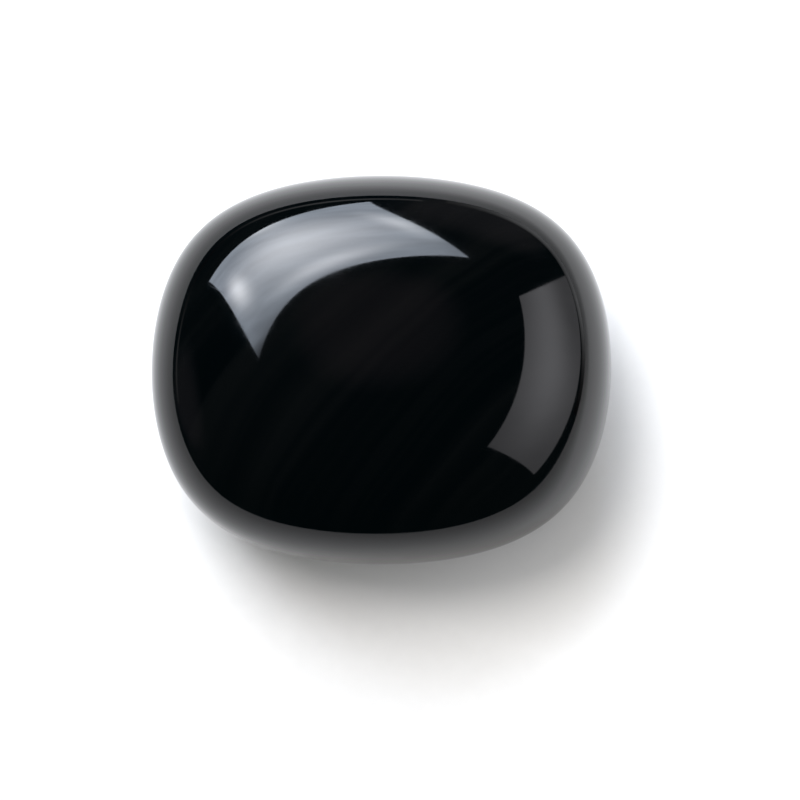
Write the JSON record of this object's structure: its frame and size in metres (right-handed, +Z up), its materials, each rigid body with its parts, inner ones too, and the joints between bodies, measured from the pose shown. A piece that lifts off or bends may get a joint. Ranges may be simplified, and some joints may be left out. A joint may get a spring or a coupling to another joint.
{
  "type": "tumbled obsidian stone",
  "caption": "Polished black volcanic-glass pebble, a rounded oblong with soft corners that lies flat on its worn underside.",
  "frame": {"origin": "under the middle of the stone, in the plane of the worn face that it lies on", "axes": "+X along the stone's length, to the right in the picture; +Y along its depth, towards the back; +Z up, through its thickness"},
  "size_m": [0.03, 0.0256, 0.0149],
  "materials": {
    "obsidian": "polished"
  },
  "bodies": {
    "root": {"stone": "obsidian"}
  },
  "joints": []
}
